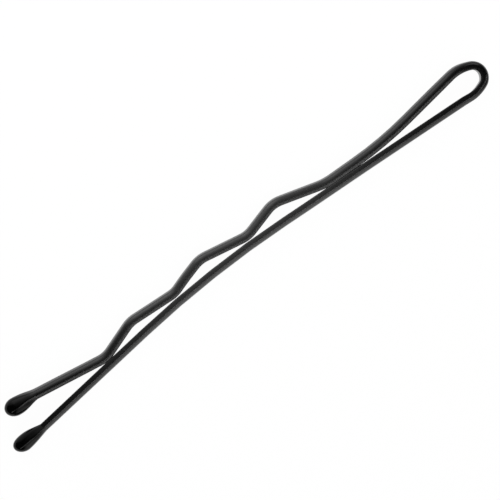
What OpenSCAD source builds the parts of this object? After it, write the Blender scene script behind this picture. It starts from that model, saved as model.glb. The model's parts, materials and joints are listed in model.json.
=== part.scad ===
// Bobby pin: one half-round steel wire, folded round a loop into a straight leg
// and a wavy leg, with a dipped resin bead on each tip. The flat side of the wire
// faces inwards all the way round, so that the legs grip on their flats.
// The pin lies on its side: X runs along it towards the loop, Y goes from the
// straight leg towards the wavy one, and Z is the width of the wire.
// Lengths are in millimetres, and stations along the pin are measured from the
// outside of the loop.

/* [Wire] */
// Width of the half-round wire, enamel included
wire_w = 1.2; // [1:0.05:1.35]
// Thickness of the half-round wire, enamel included
wire_t = 0.72; // [0.6:0.02:0.8]
// Radius of the corners of the rounded back, which faces outwards
back_r = 0.42; // [0.3:0.02:0.46]
// Radius of the corners of the flat face, which faces inwards
face_r = 0.12; // [0.08:0.01:0.13]

/* [Loop] */
// Inside radius of the tight bend at the end of the loop
eye_r = 0.67; // [0.5:0.01:0.9]
// Inside radius of the two flares that follow the tight bend
flare_r = 3.0; // [2:0.1:3.6]
// Turn of the tight bend on each side of the end of the loop, in degrees
eye_turn = 65; // [55:1:70]
// Height of the middle of the loop above the crest of the straight leg
eye_lift = 0.19; // [0:0.01:0.4]

/* [Straight leg] */
// Length of the pin, from the loop to the bead of the straight leg
straight_l = 51; // [48:0.1:60]
// Radius of the long bow of the straight leg
bow_r = 92; // [85:1:120]
// Station of the crest of the bow
bow_at = 25.9; // [24:0.1:28]
// Drop of the tip of the straight leg below the crest of the bow
tip_drop = 2.21; // [1.8:0.01:2.4]

/* [Wavy leg] */
// Length from the loop to the bead of the wavy leg
wavy_l = 49.8; // [47:0.1:56]
// Station where the wavy leg sweeps down to run beside the straight one
sweep_at = 14.4; // [13.5:0.1:14.8]
// Radius of that sweep
sweep_r = 33; // [28:1:38]
// Station of the shoulder, where the two legs meet before the crimps
shoulder_at = 16.15; // [16:0.05:16.6]
// Radius of the shoulder
shoulder_r = 5.6; // [4:0.1:6]
// Number of crimps
crimp_count = 3; // [2:1:3]
// Station of the top of the first crimp
crimp_start = 21.2; // [21:0.1:22]
// Distance from one crimp to the next
crimp_pitch = 7.7; // [7.2:0.1:8]
// Distance from the top of a crimp to the valley after it
crimp_fall = 3.5; // [3.3:0.1:3.9]
// Radius of the bends of the crimps, at the middle of the wire
crimp_r = 2.5; // [1.8:0.1:2.8]
// Height of the first crimp above the line where the legs meet
first_lift = 0.95; // [0.7:0.01:1.1]
// Height of the last crimp above the line where the legs meet
last_lift = 0.67; // [0.5:0.01:0.9]
// Spread of the two tips across the pin, between the ends of the wires
tip_spread = 3.28; // [2.6:0.02:3.6]

/* [Fit of the legs] */
// Gap between the legs at the shoulder and at the last valley
contact_gap = 0.05; // [0.03:0.01:0.2]
// Gap between the legs at the sweep
sweep_gap = 0.1; // [0.08:0.01:0.25]
// Gap between the legs at the valleys before the last
valley_gap = 0.12; // [0.05:0.01:0.3]

/* [Beads] */
// Diameter of the wavy leg's bead across the thickness of the wire
wavy_bead_d = 1.58; // [1.4:0.02:2]
// Diameter of the straight leg's bead, which holds a little less resin
straight_bead_d = 1.44; // [1.3:0.02:2]
// Diameter of the beads across the width of the wire
bead_h = 1.6; // [1.56:0.02:2.2]
// Length of the bead, from its lip on the wire to its end
bead_l = 3.2; // [2.6:0.1:3.8]
// Length of the round end of the bead, beyond its widest place
bead_nose = 1.0; // [0.8:0.05:1.2]
// Resin beyond the end of the wire
bead_cap = 0.6; // [0.4:0.05:0.7]
// Thickness of the resin at the lip of the bead
bead_lip = 0.04; // [0.03:0.01:0.08]
// How far the drop hangs towards the other leg
bead_hang = 0.1; // [0:0.01:0.12]

/* [Hidden] */
$fa = 1;
$fs = 0.06;
trim_angle = 0.5;
chord_turn = 4;
chord_slack = 0.005;
enamel = [0.07, 0.07, 0.075];
resin = [0.03, 0.03, 0.03];

// The wire runs round forming pins, as it does on a bending jig. A forming pin
// is [x, y, radius at the middle of the wire]. The radius is positive where the
// wire turns left and negative where it turns right, and a last pin of radius 0
// is the end of the wire.
eye_mid_r = eye_r + wire_t / 2;
flare_mid_r = flare_r + wire_t / 2;
eye = [-(eye_r + wire_t), eye_lift];
flare_step = (eye_mid_r - flare_mid_r) * [cos(eye_turn), sin(eye_turn)];
bow = [-bow_at, -bow_r, bow_r];

straight_pins = [
    [eye.x, eye.y, -eye_mid_r],
    [eye.x + flare_step.x, eye.y - flare_step.y, -flare_mid_r],
    bow,
    [bead_cap - straight_l, -tip_drop, 0]
];

// Slope of the straight leg on each side of its bow, as degrees round the bow
loop_side_slope = 180 - heading(straight_pins[1], bow);
tip_side_slope = 180 - heading(bow, straight_pins[3]);

wavy_pins = concat(
    [
        [eye.x, eye.y, eye_mid_r],
        [eye.x + flare_step.x, eye.y + flare_step.y, flare_mid_r],
        over_straight_leg(sweep_at, wire_t + sweep_gap, -sweep_r),
        over_straight_leg(shoulder_at, wire_t + contact_gap, -shoulder_r)
    ],
    [for (i = [0 : crimp_count - 1], side = [1, -1]) crimp_pin(i, side)],
    [[bead_cap - wavy_l, tip_spread - tip_drop, 0]]
);

// Middle of the pin's width, so that the origin lies under the middle of the pin
tip_y = straight_pins[3].y;
tip_tilt = abs(tip_side_slope);
bead_reach = norm([straight_bead_d / 2 * cos(tip_tilt), bead_nose * sin(tip_tilt)]);
bead_dip = bead_reach - bead_hang + (bead_cap - bead_nose) * sin(tip_tilt);
low_y = min(tip_y - bead_dip, straight_pins[1].y - flare_r - wire_t);
high_y = max(wavy_pins[1].y + flare_r + wire_t,
             wavy_pins[4].y + crimp_r + wire_t / 2);
origin_shift = [straight_l / 2, -(low_y + high_y) / 2, bead_h / 2];

// Points of the wire's section, thickness first, with the rounded back on the
// side given: 1 for +X and -1 for -X. Flats run between the corners.
function section_points(back) = [
    for (corner = [0 : 3])
        let (side = [corner == 0 || corner == 3 ? 1 : -1, corner < 2 ? 1 : -1],
             r = side.x == back ? back_r : face_r,
             spans = side.x == back ? 4 : 2)
        for (i = [0 : spans])
            let (angle = 90 * (corner + i / spans))
            [side.x * (wire_t / 2 - r) + r * cos(angle),
             side.y * (wire_w / 2 - r) + r * sin(angle)]
];

// Direction of the wire between two forming pins
function heading(a, b) =
    let (d = [b.x - a.x, b.y - a.y], rise = (b[2] - a[2]) / norm(d))
    wrap(atan2(d.y, d.x) - asin(min(1, max(-1, rise))));

// An angle brought to between 0 and 360 degrees
function wrap(angle) = angle - 360 * floor(angle / 360);

// An angle brought to between -180 and 180 degrees
function turn_of(angle) = wrap(angle + 180) - 180;

// A forming pin that stands off the middle of the straight leg at a station, so
// that the wire passes at the given height. Radius as for forming pins.
function over_straight_leg(station, height, radius) =
    let (along = asin((bow_at - station) / bow_r),
         slope = min(max(along, tip_side_slope), loop_side_slope),
         up = [sin(slope), cos(slope)],
         foot = [bow.x, bow.y] + bow_r * up,
         on_leg = foot + [1, -tan(slope)] * (-station - foot.x),
         spot = on_leg + (height - radius) * up)
    [spot.x, spot.y, radius];

// Forming pin of the top (side 1) or of the valley (side -1) of a crimp
function crimp_pin(i, side) =
    let (top_at = crimp_start + i * crimp_pitch,
         lift = first_lift + (last_lift - first_lift) * i / (crimp_count - 1),
         gap = i == crimp_count - 1 ? contact_gap : valley_gap)
    side > 0
        ? over_straight_leg(top_at, wire_t + contact_gap + lift, crimp_r)
        : over_straight_leg(top_at + crimp_fall, wire_t + gap, -crimp_r);

// Section of the wire, thickness along X, with the rounded back at +X. Only one
// block reaches each side, so that each side stays a single face.
module wire_section() {
    face_x = -wire_t / 2;
    back_x = wire_t / 2 - back_r;
    block(face_x, face_x + 2 * face_r, wire_w - 2 * face_r);
    block(face_x + face_r, back_x, wire_w);
    block(face_x + 1.5 * face_r, wire_t / 2, wire_w - 2 * back_r);
    for (y = [-1, 1]) {
        translate([face_x + face_r, y * (wire_w / 2 - face_r)]) circle(r = face_r);
        translate([back_x, y * (wire_w / 2 - back_r)]) intersection() {
            circle(r = back_r);
            block(-back_r / 8, 2 * back_r, 3 * back_r);
        }
    }
}

// Rectangle between two values of X, as wide as given across the middle
module block(from, to, width) {
    translate([from, -width / 2]) square([to - from, width]);
}

// Moves to the end of a bend that starts along +X at the origin, to the left for
// a positive radius
module past_bend(turn, radius) {
    translate([0, radius, 0]) rotate([0, 0, turn]) translate([0, -radius, 0]) children();
}

// Bend to the left, cut square in the plane where the next bend starts
module left_bend(turn, radius) {
    block = 4 * wire_w;
    difference() {
        translate([0, radius, 0]) rotate([0, 0, -90])
            rotate_extrude(angle = turn + trim_angle)
                translate([radius, 0]) wire_section();
        past_bend(turn, radius) translate([0, -block / 2, -block / 2]) cube(block);
    }
}

// Bend that starts along +X at the origin, to the left for a positive radius
module wire_bend(turn, radius) {
    if (radius > 0) left_bend(turn, radius);
    else mirror([0, 1, 0]) left_bend(-turn, -radius);
}

// Half of the loop: the tight bend round the first forming pin, and the flare
// round the second. It sets off in the direction start, from the outside end.
module loop_half(pins, start) {
    eye_bend = turn_of(heading(pins[0], pins[1]) - start);
    flare_bend = turn_of(heading(pins[1], pins[2]) - heading(pins[0], pins[1]));
    translate([-wire_t / 2, eye_lift, 0]) rotate([0, 0, start]) {
        wire_bend(eye_bend, pins[0][2]);
        past_bend(eye_bend, pins[0][2]) wire_bend(flare_bend, pins[1][2]);
    }
}

// Number of chords that follow a bend: each stays within chord_slack of the arc
// and turns no more than chord_turn
function bend_chords(turn, radius) =
    ceil(abs(turn) / min(chord_turn, 2 * acos(1 - chord_slack / abs(radius))) - 0.001);

// Section of the wire round a forming pin, where the wire has turned to angle.
// The back is on the left of the wire for 1 and on its right for -1.
function wire_ring(pin, angle, back) =
    let (left = [-sin(angle), cos(angle)], middle = [pin.x, pin.y] - pin[2] * left)
    [for (p = section_points(back))
        let (spot = middle + p.x * left) [spot.x, spot.y, p.y]];

// Rings of a leg, from the end of the loop's flare to the end of the wire
function leg_rings(pins, back) =
    let (last = len(pins) - 1)
    concat(
        [wire_ring(pins[1], heading(pins[1], pins[2]), back)],
        [for (k = [2 : last - 1])
            let (before = heading(pins[k - 1], pins[k]),
                 turn = turn_of(heading(pins[k], pins[k + 1]) - before),
                 chords = bend_chords(turn, pins[k][2]))
            for (i = [0 : chords]) wire_ring(pins[k], before + turn * i / chords, back)],
        [wire_ring(pins[last], heading(pins[last - 1], pins[last]), back)]
    );

// Solid through rings of points that run anticlockwise seen from the last ring
module sweep(rings) {
    n = len(rings[0]);
    last = len(rings) - 1;
    polyhedron(
        [for (ring = rings) each ring],
        concat(
            [[for (j = [0 : n - 1]) j]],
            [for (i = [0 : last - 1], j = [0 : n - 1])
                [i * n + j, (i + 1) * n + j, (i + 1) * n + (j + 1) % n, i * n + (j + 1) % n]],
            [[for (j = [n - 1 : -1 : 0]) last * n + j]]
        )
    );
}

// Straight length of wire along +X from the origin
module wire_run(length, back) {
    sweep([for (x = [0, length]) [for (p = section_points(back)) [x, p.x, p.y]]]);
}

// Moves to the end of the wire, with +X pointing out of it
module at_wire_end(pins) {
    last = len(pins) - 1;
    translate([pins[last].x, pins[last].y, 0])
        rotate([0, 0, heading(pins[last - 1], pins[last])]) children();
}

// Half size of the bead at a distance s from its lip: from the size of the wire
// at the lip, along a cosine to the widest place, and round the nose
function bead_half(s, wire_size, bead_size) =
    let (widest_at = bead_l - bead_nose, lip = wire_size / 2 + bead_lip,
         beyond = (s - widest_at) / bead_nose)
    s <= widest_at
        ? lip + (bead_size / 2 - lip) * (1 - cos(180 * s / widest_at)) / 2
        : bead_size / 2 * sqrt(max(0, 1 - beyond * beyond));

// The drop of resin: rings lofted from the flat section of the wire to a round
// nose at +X. The end of the wire is at the origin, and side is 1 where the
// other leg is on the left.
module bead_drop(side, diameter) {
    sides = 24;
    rings = 12;
    nose_rings = 7;
    widest_at = bead_l - bead_nose;
    stations = concat(
        [for (i = [0 : rings]) widest_at * i / rings],
        [for (i = [1 : nose_rings - 1]) widest_at + bead_nose * sin(90 * i / nose_rings)]
    );
    last = len(stations) - 1;
    points = concat(
        [for (s = stations, j = [0 : sides - 1])
            bead_point(s, 360 * j / sides, side, diameter)],
        [[bead_cap, side * bead_hang, 0], [bead_cap - bead_l, 0, 0]]
    );
    nose_point = len(points) - 2;
    lip_point = len(points) - 1;
    faces = concat(
        [for (i = [0 : last - 1], j = [0 : sides - 1])
            let (a = i * sides + j, b = i * sides + (j + 1) % sides)
            each [[a, a + sides, b], [b, a + sides, b + sides]]],
        [for (j = [0 : sides - 1])
            [last * sides + j, nose_point, last * sides + (j + 1) % sides]],
        [for (j = [0 : sides - 1]) [lip_point, j, (j + 1) % sides]]
    );
    polyhedron(points, faces);
}

// A point on a ring of the drop. The ring is squarish at the lip, where it
// follows the wire, and an ellipse from the widest place on.
function bead_point(s, angle, side, diameter) =
    let (along = min(1, s / (bead_l - bead_nose)),
         ease = (1 - cos(180 * along)) / 2,
         power = 0.36 + 0.64 * ease,
         across = bead_half(s, wire_t, diameter) * bulge(cos(angle), power),
         upward = bead_half(s, wire_w, bead_h) * bulge(sin(angle), power))
    [s + bead_cap - bead_l, across + side * bead_hang * ease, upward];

// A cosine or sine pushed outwards, for a rounded square instead of a circle
function bulge(value, power) = sign(value) * pow(abs(value), power);

// Bead with the socket that the wire fills
module bead(side, diameter) {
    difference() {
        bead_drop(side, diameter);
        translate([-2 * bead_l, 0, 0]) wire_run(2 * bead_l, -side);
    }
}

module wavy_leg() { color(enamel) sweep(leg_rings(wavy_pins, -1)); }
module straight_leg() { color(enamel) sweep(leg_rings(straight_pins, 1)); }
module loop_wavy_half() { color(enamel) loop_half(wavy_pins, 90); }
module loop_straight_half() { color(enamel) loop_half(straight_pins, 270); }
module wavy_leg_bead() { color(resin) at_wire_end(wavy_pins) bead(1, wavy_bead_d); }
module straight_leg_bead() {
    color(resin) at_wire_end(straight_pins) bead(-1, straight_bead_d);
}

translate(origin_shift) {
    wavy_leg();
    straight_leg();
    loop_wavy_half();
    loop_straight_half();
    wavy_leg_bead();
    straight_leg_bead();
}
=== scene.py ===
# Bobby pin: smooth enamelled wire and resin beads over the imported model.
import json
import math

import bmesh
import bpy
from mathutils import Matrix, Vector
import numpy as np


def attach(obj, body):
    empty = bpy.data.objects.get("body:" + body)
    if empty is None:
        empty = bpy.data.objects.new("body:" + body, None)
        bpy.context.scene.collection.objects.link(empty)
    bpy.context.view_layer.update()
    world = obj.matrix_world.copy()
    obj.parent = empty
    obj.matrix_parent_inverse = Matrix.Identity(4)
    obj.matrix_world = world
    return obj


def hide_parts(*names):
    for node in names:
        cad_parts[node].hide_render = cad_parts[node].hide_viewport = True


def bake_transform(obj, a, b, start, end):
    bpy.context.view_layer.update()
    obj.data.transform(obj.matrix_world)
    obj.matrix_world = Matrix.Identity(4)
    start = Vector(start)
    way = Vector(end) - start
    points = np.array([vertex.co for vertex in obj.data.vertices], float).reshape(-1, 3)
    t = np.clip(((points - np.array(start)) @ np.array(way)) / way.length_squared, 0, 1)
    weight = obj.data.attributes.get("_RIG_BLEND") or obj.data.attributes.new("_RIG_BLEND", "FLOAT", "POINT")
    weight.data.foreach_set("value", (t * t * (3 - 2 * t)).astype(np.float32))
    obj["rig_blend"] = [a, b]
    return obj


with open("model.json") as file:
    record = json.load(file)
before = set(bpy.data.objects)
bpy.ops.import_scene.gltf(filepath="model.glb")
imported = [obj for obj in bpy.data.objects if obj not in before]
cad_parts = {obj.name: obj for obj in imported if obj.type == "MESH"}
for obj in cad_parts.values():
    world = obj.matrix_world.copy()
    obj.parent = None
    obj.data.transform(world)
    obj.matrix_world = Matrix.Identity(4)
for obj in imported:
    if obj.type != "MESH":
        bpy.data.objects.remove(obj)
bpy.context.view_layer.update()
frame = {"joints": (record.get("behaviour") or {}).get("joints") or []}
scene = bpy.context.scene
mm = 0.001

# The pin is written in mm and degrees, on the jig that bends it. Stations run
# from the outside of the loop towards the tips, and heights start at the crest
# of the straight leg's bow.
wire = {
    "thickness": 0.72,
    "width": 1.2,
    "backRadius": 0.42,  # corners of the rounded back, which faces outwards
    "faceRadius": 0.12,  # corners of the flat face, which faces inwards
    "cornerSegments": 8,
    "bendStep": 2.5,  # most that a bend turns between rings
    "runStep": 0.6,  # most that a straight run goes between rings
}
loopBend = {
    "eyeRadius": 0.67,  # inside radius of the tight bend
    "eyeTurn": 65.0,  # turn of the tight bend on each side of the loop's end
    "eyeLift": 0.19,  # height of the middle of the loop
    "flareRadius": 3.0,  # inside radius of the flares that follow the tight bend
    "blendBelow": 1.0,  # how far below and above the zero of heights the loop
    "blendAbove": 1.4,  # goes over from the straight side's body to the wavy one's
    "weld": 0.001,  # the two halves' first rings are closer than this
}
straightLeg = {
    "end": 50.4,  # station of the wire's end
    "tipDrop": 2.21,  # how far the wire's end lies below the crest
    "bowAt": 25.9,  # station of the crest
    "bowRadius": 92.0,
}
wavyLeg = {
    "end": 49.2,
    "tipSpread": 3.28,  # between the two ends of the wire, across the pin
    "sweepAt": 14.4,  # where the leg sweeps down to run beside the straight one
    "sweepRadius": 33.0,
    "sweepGap": 0.1,
    "shoulderAt": 16.15,  # where the legs meet before the crimps
    "shoulderRadius": 5.6,
    "contactGap": 0.05,  # between the legs at the shoulder and at the last valley
    "crimps": 3,  # two or more
    "crimpStart": 21.2,  # station of the top of the first crimp
    "crimpPitch": 7.7,
    "crimpFall": 3.5,  # from the top of a crimp to the valley after it
    "crimpRadius": 2.5,
    "firstLift": 0.95,  # height of the first and of the last crimp above the
    "lastLift": 0.67,  # line where the legs meet
    "valleyGap": 0.12,  # between the legs at the other valleys
}

# the pin's one hinge stands at the outside of the loop, as high as its middle
hinge = Vector(frame["joints"][0]["pos_m"]) / mm
jigZero = hinge - Vector((0.0, loopBend["eyeLift"], 0.0))


def leftOf(heading):
    angle = math.radians(heading)
    return Vector((-math.sin(angle), math.cos(angle), 0.0))


# A forming pin is x, y and the radius at the middle of the wire, positive where
# the wire turns left. The wire sets off from the outside of the loop.

def pinSpot(pin):
    return Vector((pin[0], pin[1], 0.0))


def wireSpot(pin, heading):
    # middle of the wire where it goes round a pin in this direction
    return pinSpot(pin) - pin[2] * leftOf(heading)


def headingAfter(pins, k):
    # direction of the straight run from pin k to the next one
    d = pinSpot(pins[k + 1]) - pinSpot(pins[k])
    rise = (pins[k + 1][2] - pins[k][2]) / d.length
    return math.degrees(math.atan2(d.y, d.x) - math.asin(max(-1.0, min(1.0, rise)))) % 360.0


def loopPins(way):
    # the tight bend and the flare, 1 for the wavy side and -1 for the straight one
    eyeMiddle = loopBend["eyeRadius"] + wire["thickness"] / 2
    flareMiddle = loopBend["flareRadius"] + wire["thickness"] / 2
    x, y = -loopBend["eyeRadius"] - wire["thickness"], loopBend["eyeLift"]
    turn = math.radians(loopBend["eyeTurn"])
    stepX = (eyeMiddle - flareMiddle) * math.cos(turn)
    stepY = (eyeMiddle - flareMiddle) * math.sin(turn)
    return [(x, y, way * eyeMiddle), (x + stepX, y + way * stepY, way * flareMiddle)]


def straightLegPins():
    bow = (-straightLeg["bowAt"], -straightLeg["bowRadius"], straightLeg["bowRadius"])
    tip = (-straightLeg["end"], -straightLeg["tipDrop"], 0.0)
    return loopPins(-1) + [bow, tip]


def overStraightLeg(station, gap, radius):
    # forming pin that holds the wire this far off the straight leg at a station
    pins = straightLegPins()
    along = math.asin((straightLeg["bowAt"] - station) / straightLeg["bowRadius"])
    loopSlope = math.radians(180.0 - headingAfter(pins, 1))
    tipSlope = math.radians(180.0 - headingAfter(pins, 2))
    slope = min(max(along, tipSlope), loopSlope)
    up = Vector((math.sin(slope), math.cos(slope), 0.0))
    foot = pinSpot(pins[2]) + straightLeg["bowRadius"] * up
    onLeg = foot + Vector((1.0, -math.tan(slope), 0.0)) * (-station - foot.x)
    spot = onLeg + (wire["thickness"] + gap - radius) * up
    return spot.x, spot.y, radius


def crimpPins(k):
    # the top and the valley of a crimp
    leg = wavyLeg
    topAt = leg["crimpStart"] + k * leg["crimpPitch"]
    last = leg["crimps"] - 1
    lift = leg["firstLift"] + (leg["lastLift"] - leg["firstLift"]) * k / last
    gap = leg["contactGap"] if k == last else leg["valleyGap"]
    top = overStraightLeg(topAt, leg["contactGap"] + lift, leg["crimpRadius"])
    valley = overStraightLeg(topAt + leg["crimpFall"], gap, -leg["crimpRadius"])
    return [top, valley]


def wavyLegPins():
    leg = wavyLeg
    sweep = overStraightLeg(leg["sweepAt"], leg["sweepGap"], -leg["sweepRadius"])
    shoulder = overStraightLeg(leg["shoulderAt"], leg["contactGap"], -leg["shoulderRadius"])
    crimps = [pin for k in range(leg["crimps"]) for pin in crimpPins(k)]
    tip = (-leg["end"], leg["tipSpread"] - straightLeg["tipDrop"], 0.0)
    return loopPins(1) + [sweep, shoulder] + crimps + [tip]


# the two sides of the wire; the lean is x, roll about the wire and shift towards
# its back
wavySide = {
    "body": "wavy_side",
    "pins": wavyLegPins(),
    "heading": 90.0,
    "back": -1,  # the rounded back is on the wire's right
    "lean": [
        (-0.36, 0.0, 0.0),
        (-1.0, -3.0, 0.0),
        (-2.2, -10.0, 0.04),
        (-5.0, -13.0, 0.05),
        (-13.0, -11.0, 0.04),
        (-20.0, -9.5, 0.04),
        (-29.0, -9.0, 0.03),
        (-31.0, -9.0, 0.07),
        (-33.0, -9.0, 0.03),
        (-41.0, -11.0, 0.04),
        (-46.0, -13.5, 0.06),
        (-50.0, -13.5, 0.06),
    ],
}
straightSide = {
    "body": "straight_side",
    "pins": straightLegPins(),
    "heading": 270.0,
    "back": 1,  # the rounded back is on the wire's left
    "lean": [
        (-0.36, 0.0, 0.0),
        (-0.9, 2.0, 0.03),
        (-2.0, 4.0, 0.03),
        (-3.2, 8.0, -0.01),
        (-12.0, 8.0, -0.01),
        (-20.0, 8.0, 0.03),
        (-51.0, 8.0, 0.03),
    ],
}


def leanAt(side, x):
    # roll and sideways shift of the wire at a place along the pin
    stops = side["lean"]
    if x >= stops[0][0]:
        return stops[0][1:]
    for a, b in zip(stops, stops[1:]):
        if x >= b[0]:
            t = (a[0] - x) / (a[0] - b[0])
            t = t * t * (3 - 2 * t)
            return a[1] + (b[1] - a[1]) * t, a[2] + (b[2] - a[2]) * t
    return stops[-1][1:]


def wireFrame(side, spot, heading):
    # left of the wire, width of the wire, along the wire, leaning as the wire does
    roll, shift = leanAt(side, spot.x)
    left = leftOf(heading)
    along = Vector((left.y, -left.x, 0.0))
    turn = Matrix((left, (0.0, 0.0, 1.0), along)).transposed().to_4x4()
    spot = spot + left * side["back"] * shift
    return Matrix.Translation(spot) @ Matrix.Rotation(math.radians(roll), 4, along) @ turn


def addSection(bm, place, back, size, radii):
    # half-round section with its flat away from the back, as a ring of edges;
    # the radii are those of the back's corners and of the flat's
    before = set(bm.verts)
    made = bmesh.ops.create_grid(bm, x_segments=1, y_segments=1, size=0.5)["verts"]
    bmesh.ops.scale(bm, vec=(size[0], size[1], 1.0), verts=made)
    for way, radius in zip((back, -back), radii):
        bmesh.ops.bevel(
            bm,
            geom=[v for v in made if v.is_valid and v.co.x * way > 0],
            offset=radius,
            offset_type="OFFSET",
            segments=wire["cornerSegments"],
            profile=0.5,
            affect="VERTICES",
            material=-1,
        )
    ring = [v for v in bm.verts if v not in before]
    backSide = bm.verts.layers.float["backSide"]
    for v in ring:
        v[backSide] = back * v.co.x / (size[0] / 2)
    bmesh.ops.transform(bm, matrix=place, verts=ring)
    faces = list({f for v in ring for f in v.link_faces})
    bmesh.ops.delete(bm, geom=faces, context="FACES_ONLY")
    return list({e for v in ring for e in v.link_edges})


def addWireSection(bm, side, spot, heading):
    place = wireFrame(side, spot, heading)
    size = (wire["thickness"], wire["width"])
    radii = (wire["backRadius"], wire["faceRadius"])
    return addSection(bm, place, side["back"], size, radii)


def growWire(bm, side, ring, stops):
    # pulls the wire on from stop to stop; each stop is a spot and a heading
    for old, new in zip(stops, stops[1:]):
        made = bmesh.ops.extrude_edge_only(bm, edges=ring)["geom"]
        verts = [g for g in made if isinstance(g, bmesh.types.BMVert)]
        ring = [g for g in made if isinstance(g, bmesh.types.BMEdge)]
        move = wireFrame(side, *new) @ wireFrame(side, *old).inverted()
        bmesh.ops.transform(bm, matrix=move, verts=verts)
    return ring


def bendStops(pin, start, end):
    turn = (end - start + 180.0) % 360.0 - 180.0
    steps = max(1, math.ceil(abs(turn) / wire["bendStep"]))
    headings = [start + turn * i / steps for i in range(steps + 1)]
    return [(wireSpot(pin, h), h) for h in headings]


def runStops(start, end, heading):
    steps = max(1, math.ceil((end - start).length / wire["runStep"]))
    return [(start.lerp(end, i / steps), heading) for i in range(steps + 1)]


def capRing(bm, ring):
    bmesh.ops.contextual_create(bm, geom=ring)
    for e in ring:
        e.smooth = False


def newPiece():
    bm = bmesh.new()
    bm.verts.layers.float.new("backSide")
    return bm


def newObject(bm, name, material):
    mesh = bpy.data.meshes.new(name)
    bm.to_mesh(mesh)
    bm.free()
    mesh.materials.append(material)
    made = bpy.data.objects.new(name, mesh)
    scene.collection.objects.link(made)
    return made


def finishPiece(bm, name, material):
    bmesh.ops.recalc_face_normals(bm, faces=bm.faces)
    for f in bm.faces:
        f.smooth = True
    bmesh.ops.translate(bm, vec=jigZero, verts=bm.verts)
    bmesh.ops.scale(bm, vec=(mm, mm, mm), verts=bm.verts)
    piece = newObject(bm, name, material)
    return piece


def makeLoop(material):
    # both halves set off from the outside of the loop, where their rings meet
    bm = newPiece()
    for side in (wavySide, straightSide):
        pins, heading = side["pins"], side["heading"]
        ring = addWireSection(bm, side, wireSpot(pins[0], heading), heading)
        for k in (0, 1):
            after = headingAfter(pins, k)
            ring = growWire(bm, side, ring, bendStops(pins[k], heading, after))
            heading = after
        capRing(bm, ring)
    bmesh.ops.remove_doubles(bm, verts=bm.verts, dist=loopBend["weld"])
    piece = finishPiece(bm, "loopWire", material)
    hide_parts("loop_wavy_half", "loop_straight_half")
    x, y, z = jigZero
    bendStart = (x * mm, (y - loopBend["blendBelow"]) * mm, z * mm)
    bendEnd = (x * mm, (y + loopBend["blendAbove"]) * mm, z * mm)
    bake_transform(piece, "straight_side", "wavy_side", bendStart, bendEnd)


def makeLeg(name, side, node, material):
    bm = newPiece()
    pins = side["pins"]
    heading = headingAfter(pins, 1)
    spot = wireSpot(pins[1], heading)
    ring = addWireSection(bm, side, spot, heading)
    capRing(bm, ring)
    for k in range(2, len(pins)):
        ring = growWire(bm, side, ring, runStops(spot, wireSpot(pins[k], heading), heading))
        if k < len(pins) - 1:
            after = headingAfter(pins, k)
            ring = growWire(bm, side, ring, bendStops(pins[k], heading, after))
            heading = after
            spot = wireSpot(pins[k], heading)
    capRing(bm, ring)
    piece = finishPiece(bm, name, material)
    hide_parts(node)
    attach(piece, side["body"])


bead = {
    "height": 1.6,
    "length": 3.2,
    "nose": 1.0,  # length of the round end, beyond the widest place
    "lip": -0.012,  # the resin thins out into the wire behind the drop
    "roundness": 0.985,
    "neckShare": 0.5,  # share of the swelling part that looks like thin resin
    "leanPower": 1.5,  # how the nose's lean grows towards its end
    "rings": 22,
    "noseRings": 12,
}
wavyBead = {
    "across": 1.6,
    "cap": 0.59,  # resin beyond the end of the wire
    "hang": 0.19,  # how far the drop hangs towards the other leg
    "swell": 0.95,  # a lower power swells sooner
    "noseLean": 0.0,  # how much farther the nose hangs
}
straightBead = {
    "across": 1.44,
    "cap": 0.66,
    "hang": 0.18,
    "swell": 0.6,
    "noseLean": 0.13,
}


def beadHalf(s, wireSize, beadSize, ease):
    # half size at a distance from the lip: swelling to the widest place, then
    # the round nose
    widestAt = bead["length"] - bead["nose"]
    if s > widestAt:
        return beadSize / 2 * math.sqrt(max(0.0, 1 - ((s - widestAt) / bead["nose"]) ** 2))
    lip = wireSize / 2 + bead["lip"]
    return lip + (beadSize / 2 - lip) * ease


def beadSpot(side, drop, aside, s):
    # middle of the drop in the leaning wire's own directions; it hangs to the
    # side in the pin's plane, so that the drop stays on the table
    roll = math.radians(leanAt(side, side["pins"][-1][0])[0])
    forward = s + drop["cap"] - bead["length"]
    return Vector((aside * math.cos(roll), -aside * math.sin(roll), forward))


def addBeadRing(bm, side, drop, s):
    widestAt = bead["length"] - bead["nose"]
    ease = ((1 - math.cos(math.pi * min(1.0, s / widestAt))) / 2) ** drop["swell"]
    across = beadHalf(s, wire["thickness"], drop["across"], ease)
    upward = beadHalf(s, wire["width"], bead["height"], ease)
    full = bead["roundness"] * min(across, upward)
    radii = [min(r + (full - r) * ease, full) for r in (wire["backRadius"], wire["faceRadius"])]
    lean = drop["noseLean"] * max(0.0, (s - widestAt) / bead["nose"]) ** bead["leanPower"]
    aside = -side["back"] * (drop["hang"] * ease + lean)
    place = Matrix.Translation(beadSpot(side, drop, aside, s))
    ring = addSection(bm, place, side["back"], (2 * across, 2 * upward), radii)
    depth = bm.verts.layers.float["resinDepth"]
    for e in ring:
        for v in e.verts:
            v[depth] = min(1.0, s / (bead["neckShare"] * widestAt))
    return ring


def closeRing(bm, ring, spot):
    made = bmesh.ops.extrude_edge_only(bm, edges=ring)["geom"]
    verts = [g for g in made if isinstance(g, bmesh.types.BMVert)]
    bmesh.ops.pointmerge(bm, verts=verts, merge_co=spot)


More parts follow.
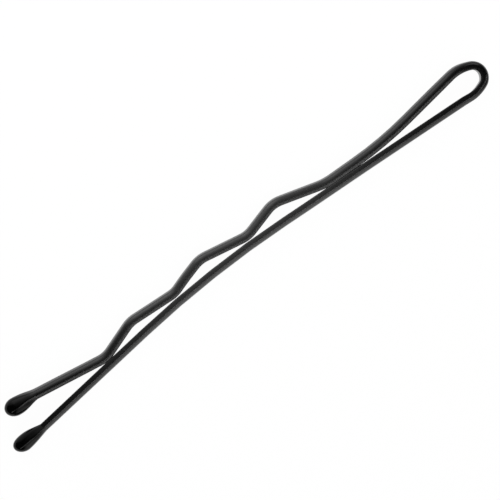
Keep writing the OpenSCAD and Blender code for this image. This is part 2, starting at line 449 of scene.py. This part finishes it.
def makeBead(name, side, drop, node, material):
    # rings of resin round the end of the wire, bridged and drawn in to the nose
    bm = newPiece()
    bm.verts.layers.float.new("resinDepth")
    widestAt = bead["length"] - bead["nose"]
    stations = [widestAt * i / bead["rings"] for i in range(bead["rings"] + 1)]
    for i in range(1, bead["noseRings"]):
        stations.append(widestAt + bead["nose"] * math.sin(math.pi / 2 * i / bead["noseRings"]))
    rings = [addBeadRing(bm, side, drop, s) for s in stations]
    for a, b in zip(rings, rings[1:]):
        bmesh.ops.bridge_loops(bm, edges=a + b)
    tipAside = -side["back"] * (drop["hang"] + drop["noseLean"])
    closeRing(bm, rings[-1], beadSpot(side, drop, tipAside, bead["length"]))
    closeRing(bm, rings[0], beadSpot(side, drop, 0.0, 0.0))
    for e in rings[0]:
        e.smooth = False
    lastPin = side["pins"][-1]
    heading = headingAfter(side["pins"], len(side["pins"]) - 2)
    place = wireFrame(side, pinSpot(lastPin), heading)
    bmesh.ops.transform(bm, matrix=place, verts=bm.verts)
    piece = finishPiece(bm, name, material)
    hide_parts(node)
    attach(piece, side["body"])


# materials

def newMaterial(name):
    material = bpy.data.materials.new(name)
    material.use_nodes = True
    return material, material.node_tree, material.node_tree.nodes["Principled BSDF"]


def addNode(tree, kind, **settings):
    node = tree.nodes.new(kind)
    for name, value in settings.items():
        setattr(node, name, value)
    return node


def mathNode(tree, operation, *values):
    node = addNode(tree, "ShaderNodeMath", operation=operation)
    for socket, value in zip(node.inputs, values):
        if isinstance(value, (int, float)):
            socket.default_value = value
        else:
            tree.links.new(value, socket)
    return node.outputs[0]


def rampNode(tree, value, reach, start, end):
    # eases from the start to the end while the value goes over the reach
    node = addNode(tree, "ShaderNodeMapRange", interpolation_type="SMOOTHSTEP")
    tree.links.new(value, node.inputs["Value"])
    node.inputs["From Min"].default_value = reach[0]
    node.inputs["From Max"].default_value = reach[1]
    node.inputs["To Min"].default_value = start
    node.inputs["To Max"].default_value = end
    return node.outputs[0]


def noiseNode(tree, vector, scale, detail):
    node = addNode(tree, "ShaderNodeTexNoise")
    tree.links.new(vector, node.inputs["Vector"])
    tree.links.new(scale, node.inputs["Scale"])
    node.inputs["Detail"].default_value = detail
    return node.outputs["Fac"]


def splitAxes(tree, vector):
    node = addNode(tree, "ShaderNodeSeparateXYZ")
    tree.links.new(vector, node.inputs[0])
    return node.outputs


def newGroup(name, numbers, outputs):
    # node group that takes a vector and these numbers; returns its inner sockets
    tree = bpy.data.node_groups.new(name, "ShaderNodeTree")
    sockets = tree.interface
    sockets.new_socket("Vector", in_out="INPUT", socket_type="NodeSocketVector")
    for label, value in numbers:
        socket = sockets.new_socket(label, in_out="INPUT", socket_type="NodeSocketFloat")
        socket.default_value = value
    for label in outputs:
        sockets.new_socket(label, in_out="OUTPUT", socket_type="NodeSocketFloat")
    inside = tree.nodes.new("NodeGroupInput").outputs
    outside = tree.nodes.new("NodeGroupOutput").inputs
    return tree, inside, outside


# how fine the effects of the coats are
coatEffects = {
    "rippleDetail": 2.0,
    "dustDetail": 3.0,
    "dustLevel": 0.9,  # noise above this is dust where the cover is 0
    "coverReach": 0.4,  # how far a full cover lowers that level
    "dustEdge": 12.0,  # how sharply a speck ends
    "patchDetail": 3.0,
}


def dipCoatGroup():
    # soft ripple of a dipped coat and the fine dust that lies on it
    look = coatEffects
    numbers = (("Ripple Scale", 900.0), ("Dust Scale", 5000.0), ("Dust Cover", 0.5))
    tree, inside, outside = newGroup("dip coat", numbers, ("Ripple", "Dust"))
    ripple = noiseNode(tree, inside["Vector"], inside["Ripple Scale"], look["rippleDetail"])
    tree.links.new(ripple, outside["Ripple"])
    specks = noiseNode(tree, inside["Vector"], inside["Dust Scale"], look["dustDetail"])
    lowered = mathNode(tree, "MULTIPLY", inside["Dust Cover"], look["coverReach"])
    edge = mathNode(tree, "SUBTRACT", look["dustLevel"], lowered)
    over = mathNode(tree, "MULTIPLY", mathNode(tree, "SUBTRACT", specks, edge), look["dustEdge"])
    dust = mathNode(tree, "MINIMUM", mathNode(tree, "MAXIMUM", over, 0.0), 1.0)
    tree.links.new(dust, outside["Dust"])
    return tree


def rubbedGroup():
    # 1 along the crown of the wire's rounded back, in patches, where hands and
    # hair rub the coat
    numbers = (("Back", 0.0), ("Patch Scale", 300.0), ("Reach", 0.3))
    tree, inside, outside = newGroup("rubbed crown", numbers, ("Rub",))
    patches = noiseNode(tree, inside["Vector"], inside["Patch Scale"], coatEffects["patchDetail"])
    start = mathNode(tree, "SUBTRACT", 1.0, inside["Reach"])
    crown = mathNode(tree, "DIVIDE", mathNode(tree, "SUBTRACT", inside["Back"], start), inside["Reach"])
    crown = mathNode(tree, "MAXIMUM", crown, 0.0)
    tree.links.new(mathNode(tree, "MULTIPLY", crown, patches), outside["Rub"])
    return tree


# reaches run from the pin's middle towards its ends, in metres, as the scales of
# the noise are per metre
enamelLook = {
    "color": (0.0022, 0.0022, 0.0023, 1.0),
    "paintedSheenColor": (0.014, 0.014, 0.0137, 1.0),  # painted light: a lighter base colour along the middle, standing in for the brighter light there
    "paintedSheenReach": (0.004, 0.021),
    "dustColor": (0.045, 0.044, 0.042, 1.0),
    "roughnessMiddle": 0.3,
    "roughnessEnds": 0.23,
    "roughnessReach": (0.006, 0.023),
    "roughnessSpread": 0.06,
    "dustRoughness": 0.2,
    "rubRoughness": 0.06,
    "rippleScale": 700.0,
    "rippleHeight": 0.000004,
    "dustScale": 6000.0,
    "dustCover": 0.6,
    "specular": 0.35,
    "glazeMiddle": 0.4,  # weight of the gloss coat at the pin's middle and ends
    "glazeEnds": 0.1,
    "glazeReach": (0.006, 0.021),
    "glazeRoughness": 0.3,
}
resinLook = {
    "color": (0.0015, 0.0015, 0.0015, 1.0),
    "dustColor": (0.035, 0.035, 0.034, 1.0),
    "roughnessNeck": 0.23,
    "roughnessDrop": 0.12,
    "roughnessSpread": 0.03,
    "dustRoughness": 0.2,
    "rippleScale": 500.0,
    "rippleHeight": 0.000004,
    "dustScale": 5000.0,
    "dustCover": 0.4,
    "specular": 0.13,
    "glazeNeck": 0.45,  # weight of the gloss coat at the lip; the drop has none
    "glazeRoughness": 0.25,
}
dipCoat = dipCoatGroup()
rubbed = rubbedGroup()


def coatNodes(tree, shader, look):
    # colour with dust and, where the look gives it, painted light along the middle; the ripple's bump;
    # returns what the roughness needs
    links = tree.links
    where = addNode(tree, "ShaderNodeTexCoord").outputs["Object"]
    coat = addNode(tree, "ShaderNodeGroup", node_tree=dipCoat)
    links.new(where, coat.inputs["Vector"])
    coat.inputs["Ripple Scale"].default_value = look["rippleScale"]
    coat.inputs["Dust Scale"].default_value = look["dustScale"]
    coat.inputs["Dust Cover"].default_value = look["dustCover"]
    mix = addNode(tree, "ShaderNodeMix", data_type="RGBA")
    links.new(coat.outputs["Dust"], mix.inputs["Factor"])
    mix.inputs["A"].default_value = look["color"]
    mix.inputs["B"].default_value = look["dustColor"]
    # painted light: the base colour lightens towards the pin's middle, where the light falls brighter
    if "paintedSheenColor" in look:
        along = mathNode(tree, "ABSOLUTE", splitAxes(tree, where)["X"])
        paintedSheenMix = addNode(tree, "ShaderNodeMix", data_type="RGBA")
        links.new(rampNode(tree, along, look["paintedSheenReach"], 1.0, 0.0), paintedSheenMix.inputs["Factor"])
        paintedSheenMix.inputs["A"].default_value = look["color"]
        paintedSheenMix.inputs["B"].default_value = look["paintedSheenColor"]
        links.new(paintedSheenMix.outputs["Result"], mix.inputs["A"])
    links.new(mix.outputs["Result"], shader.inputs["Base Color"])
    bump = addNode(tree, "ShaderNodeBump")
    bump.inputs["Strength"].default_value = 1.0
    bump.inputs["Distance"].default_value = look["rippleHeight"]
    links.new(coat.outputs["Ripple"], bump.inputs["Height"])
    links.new(bump.outputs["Normal"], shader.inputs["Normal"])
    uneven = mathNode(tree, "SUBTRACT", coat.outputs["Ripple"], 0.5)
    spread = mathNode(tree, "MULTIPLY", uneven, look["roughnessSpread"])
    dusty = mathNode(tree, "MULTIPLY", coat.outputs["Dust"], look["dustRoughness"])
    return where, mathNode(tree, "ADD", spread, dusty)


def enamelMaterial():
    look = enamelLook
    material, tree, shader = newMaterial("black enamel")
    where, spread = coatNodes(tree, shader, look)
    shader.inputs["Specular IOR Level"].default_value = look["specular"]
    shader.inputs["Coat Roughness"].default_value = look["glazeRoughness"]
    along = mathNode(tree, "ABSOLUTE", splitAxes(tree, where)["X"])
    glaze = rampNode(tree, along, look["glazeReach"], look["glazeMiddle"], look["glazeEnds"])
    tree.links.new(glaze, shader.inputs["Coat Weight"])
    middle, ends = look["roughnessMiddle"], look["roughnessEnds"]
    level = rampNode(tree, along, look["roughnessReach"], middle, ends)
    rub = addNode(tree, "ShaderNodeGroup", node_tree=rubbed)
    tree.links.new(where, rub.inputs["Vector"])
    back = addNode(tree, "ShaderNodeAttribute", attribute_name="backSide")
    tree.links.new(back.outputs["Fac"], rub.inputs["Back"])
    worn = mathNode(tree, "MULTIPLY", rub.outputs["Rub"], look["rubRoughness"])
    rough = mathNode(tree, "ADD", mathNode(tree, "ADD", level, spread), worn)
    tree.links.new(rough, shader.inputs["Roughness"])
    return material


def resinMaterial():
    look = resinLook
    material, tree, shader = newMaterial("black resin")
    spread = coatNodes(tree, shader, look)[1]
    shader.inputs["Specular IOR Level"].default_value = look["specular"]
    shader.inputs["Coat Roughness"].default_value = look["glazeRoughness"]
    depth = addNode(tree, "ShaderNodeAttribute", attribute_name="resinDepth").outputs["Fac"]
    level = rampNode(tree, depth, (0.0, 1.0), look["roughnessNeck"], look["roughnessDrop"])
    glaze = rampNode(tree, depth, (0.0, 1.0), look["glazeNeck"], 0.0)
    tree.links.new(glaze, shader.inputs["Coat Weight"])
    tree.links.new(mathNode(tree, "ADD", level, spread), shader.inputs["Roughness"])
    return material


enamel = enamelMaterial()
resin = resinMaterial()
print("materials made")

makeLoop(enamel)
print("loop made")
makeLeg("wavyLeg", wavySide, "wavy_leg", enamel)
makeLeg("straightLeg", straightSide, "straight_leg", enamel)
print("legs made")
makeBead("wavyBead", wavySide, wavyBead, "wavy_leg_bead", resin)
makeBead("straightBead", straightSide, straightBead, "straight_leg_bead", resin)
print("beads made")

# studio, in metres except where mm is said

table = {
    "size": 3.0,
    "color": (0.95, 0.95, 0.95, 1.0),
    "roughness": 0.9,
    "glow": 0.96,  # share of what is seen that is plain white
    "glowStrength": 1.02,
}


def shownRays(tree):
    # 1 for what the camera sees, directly or in a reflection
    path = addNode(tree, "ShaderNodeLightPath").outputs
    total = mathNode(tree, "MAXIMUM", path["Is Camera Ray"], path["Is Glossy Ray"])
    return mathNode(tree, "MAXIMUM", total, path["Is Transmission Ray"])


def makeTable():
    bm = bmesh.new()
    bmesh.ops.create_grid(bm, x_segments=1, y_segments=1, size=table["size"] / 2)
    material, tree, shader = newMaterial("white table")
    shader.inputs["Base Color"].default_value = table["color"]
    shader.inputs["Roughness"].default_value = table["roughness"]
    shader.inputs["Specular IOR Level"].default_value = 0.0
    glow = addNode(tree, "ShaderNodeEmission")
    glow.inputs["Strength"].default_value = table["glowStrength"]
    mix = addNode(tree, "ShaderNodeMixShader")
    tree.links.new(mathNode(tree, "MULTIPLY", shownRays(tree), table["glow"]), mix.inputs[0])
    tree.links.new(shader.outputs[0], mix.inputs[1])
    tree.links.new(glow.outputs[0], mix.inputs[2])
    tree.links.new(mix.outputs[0], tree.nodes["Material Output"].inputs["Surface"])
    floor = newObject(bm, "floor", material)


# pale walls along both sides of the pin: brightness, how fast they fade towards
# the pin's own direction, and how low they start
walls = {
    "wavySide": (2.2, 0.35, 0.5),
    "straightSide": (3.2, 1.1, 0.25),
    "overhead": 0.02,  # level of the dark parts
}
# narrow softbox beyond the straight side
stripBox = {
    "height": 0.49,  # as a sine
    "halfWidth": 0.035,
    "edge": (0.6, 1.4),  # it fades between these shares of its half width
    "endwise": 0.8,  # how far it reaches towards the pin's ends, as a cosine
    "strength": 5.0,
}


def makeWorld():
    # dark towards the pin's ends and overhead; white to the camera
    world = bpy.data.worlds.new("studio")
    scene.world = world
    world.use_nodes = True
    tree = world.node_tree
    x, y, z = splitAxes(tree, addNode(tree, "ShaderNodeTexCoord").outputs["Generated"])
    endwise = mathNode(tree, "ABSOLUTE", x)
    level = walls["overhead"]
    for side, (bright, fade, start) in ((1.0, walls["wavySide"]), (-1.0, walls["straightSide"])):
        faded = mathNode(tree, "MULTIPLY", endwise, fade)
        sidewise = mathNode(tree, "SUBTRACT", mathNode(tree, "MULTIPLY", y, side), faded)
        wall = mathNode(tree, "MAXIMUM", mathNode(tree, "SUBTRACT", sidewise, start), 0.0)
        level = mathNode(tree, "ADD", level, mathNode(tree, "MULTIPLY", wall, bright))
    offset = mathNode(tree, "ABSOLUTE", mathNode(tree, "ADD", y, stripBox["height"]))
    reach = [stripBox["halfWidth"] * share for share in stripBox["edge"]]
    strip = rampNode(tree, offset, reach, stripBox["strength"], 0.0)
    inReach = mathNode(tree, "LESS_THAN", endwise, stripBox["endwise"])
    strip = mathNode(tree, "MULTIPLY", strip, inReach)
    strip = mathNode(tree, "MULTIPLY", strip, mathNode(tree, "GREATER_THAN", z, 0.0))
    level = mathNode(tree, "ADD", level, strip)
    path = addNode(tree, "ShaderNodeLightPath")
    mix = addNode(tree, "ShaderNodeMix", data_type="RGBA")
    tree.links.new(path.outputs["Is Camera Ray"], mix.inputs["Factor"])
    tree.links.new(level, mix.inputs["A"])
    mix.inputs["B"].default_value = (1.0, 1.0, 1.0, 1.0)
    tree.links.new(mix.outputs["Result"], tree.nodes["Background"].inputs["Color"])


lightArch = {
    "radius": 0.09,
    "reach": 0.042,  # how far it goes along the pin to each side of the middle
    "steps": 48,
    "level": 0.45,
    "lean": 1.25,  # how much brighter it is towards the wavy side
}


def makeArch():
    # half tunnel of soft light over the pin's middle, clear to the camera
    bm = bmesh.new()
    radius, reach = lightArch["radius"], lightArch["reach"]
    start = bmesh.ops.create_vert(bm, co=(-reach, radius, 0.0))["vert"]
    end = bmesh.ops.create_vert(bm, co=(reach, radius, 0.0))["vert"]
    edge = bmesh.ops.contextual_create(bm, geom=start + end)["edges"]
    bmesh.ops.spin(
        bm,
        geom=start + end + edge,
        axis=(1, 0, 0),
        cent=(0, 0, 0),
        angle=math.pi,
        steps=lightArch["steps"],
    )
    material, tree, shader = newMaterial("arch light")
    tree.nodes.remove(shader)
    place = splitAxes(tree, addNode(tree, "ShaderNodeTexCoord").outputs["Object"])
    bell = rampNode(tree, mathNode(tree, "ABSOLUTE", place["X"]), (0.0, reach), 1.0, 0.0)
    lean = mathNode(tree, "MULTIPLY", place["Y"], lightArch["lean"] / radius)
    level = mathNode(tree, "MAXIMUM", mathNode(tree, "ADD", lean, lightArch["level"]), 0.0)
    path = addNode(tree, "ShaderNodeLightPath")
    unseen = mathNode(tree, "SUBTRACT", 1.0, path.outputs["Is Camera Ray"])
    strength = mathNode(tree, "MULTIPLY", mathNode(tree, "MULTIPLY", level, bell), unseen)
    glow = addNode(tree, "ShaderNodeEmission")
    tree.links.new(strength, glow.inputs["Strength"])
    add = addNode(tree, "ShaderNodeAddShader")
    tree.links.new(addNode(tree, "ShaderNodeBsdfTransparent").outputs[0], add.inputs[0])
    tree.links.new(glow.outputs[0], add.inputs[1])
    tree.links.new(add.outputs[0], tree.nodes["Material Output"].inputs["Surface"])
    arch = newObject(bm, "lightArch", material)


# small panel beyond the loop, on the wavy side
loopPanel = {
    "place": (66.0, 36.0, 34.0),  # mm
    "aim": (23.0, 1.0, 1.0),  # mm
    "size": 0.034,
    "watts": 0.006,
}


def makeLoopPanel():
    data = bpy.data.lights.new("loopPanel", "AREA")
    data.shape = "SQUARE"
    data.size = loopPanel["size"]
    data.energy = loopPanel["watts"]
    panel = bpy.data.objects.new("loopPanel", data)
    scene.collection.objects.link(panel)
    spot = Vector(loopPanel["place"]) * mm
    aim = Vector(loopPanel["aim"]) * mm - spot
    turn = aim.to_track_quat("-Z", "Y").to_matrix().to_4x4()
    panel.matrix_world = Matrix.Translation(spot) @ turn


photoView = {
    "tilt": 5.0,  # degrees that the camera leans to the wavy side
    "turn": 36.6,  # degrees that the pin is turned in the picture
    "width": 42.19,  # mm across the picture at the pin
    "centre": (0.0, -0.015, 0.8),  # mm
    "shift": (0.2575, 0.329),  # mm to the right and up
    "lens": 150.0,
    "sensor": 36.0,
    "clip": (0.01, 10.0),
}


def makeCamera():
    look = photoView
    data = bpy.data.cameras.new("camera")
    data.lens = look["lens"]
    data.sensor_width = look["sensor"]
    data.clip_start, data.clip_end = look["clip"]
    camera = bpy.data.objects.new("camera", data)
    scene.collection.objects.link(camera)
    scene.camera = camera
    tilt, turn = math.radians(look["tilt"]), math.radians(look["turn"])
    back = Vector((0.0, math.sin(tilt), math.cos(tilt)))
    across = Vector((0.0, math.cos(tilt), -math.sin(tilt)))
    along = Vector((1.0, 0.0, 0.0))
    right = along * math.cos(turn) - across * math.sin(turn)
    up = along * math.sin(turn) + across * math.cos(turn)
    aim = Vector(look["centre"]) + right * look["shift"][0] + up * look["shift"][1]
    away = look["width"] / look["sensor"] * look["lens"]
    place = Matrix((right, up, back)).transposed().to_4x4()
    camera.matrix_world = Matrix.Translation((aim + back * away) * mm) @ place


makeTable()
makeWorld()
makeArch()
makeLoopPanel()
makeCamera()
scene.view_settings.view_transform = "Standard"
print("studio made")
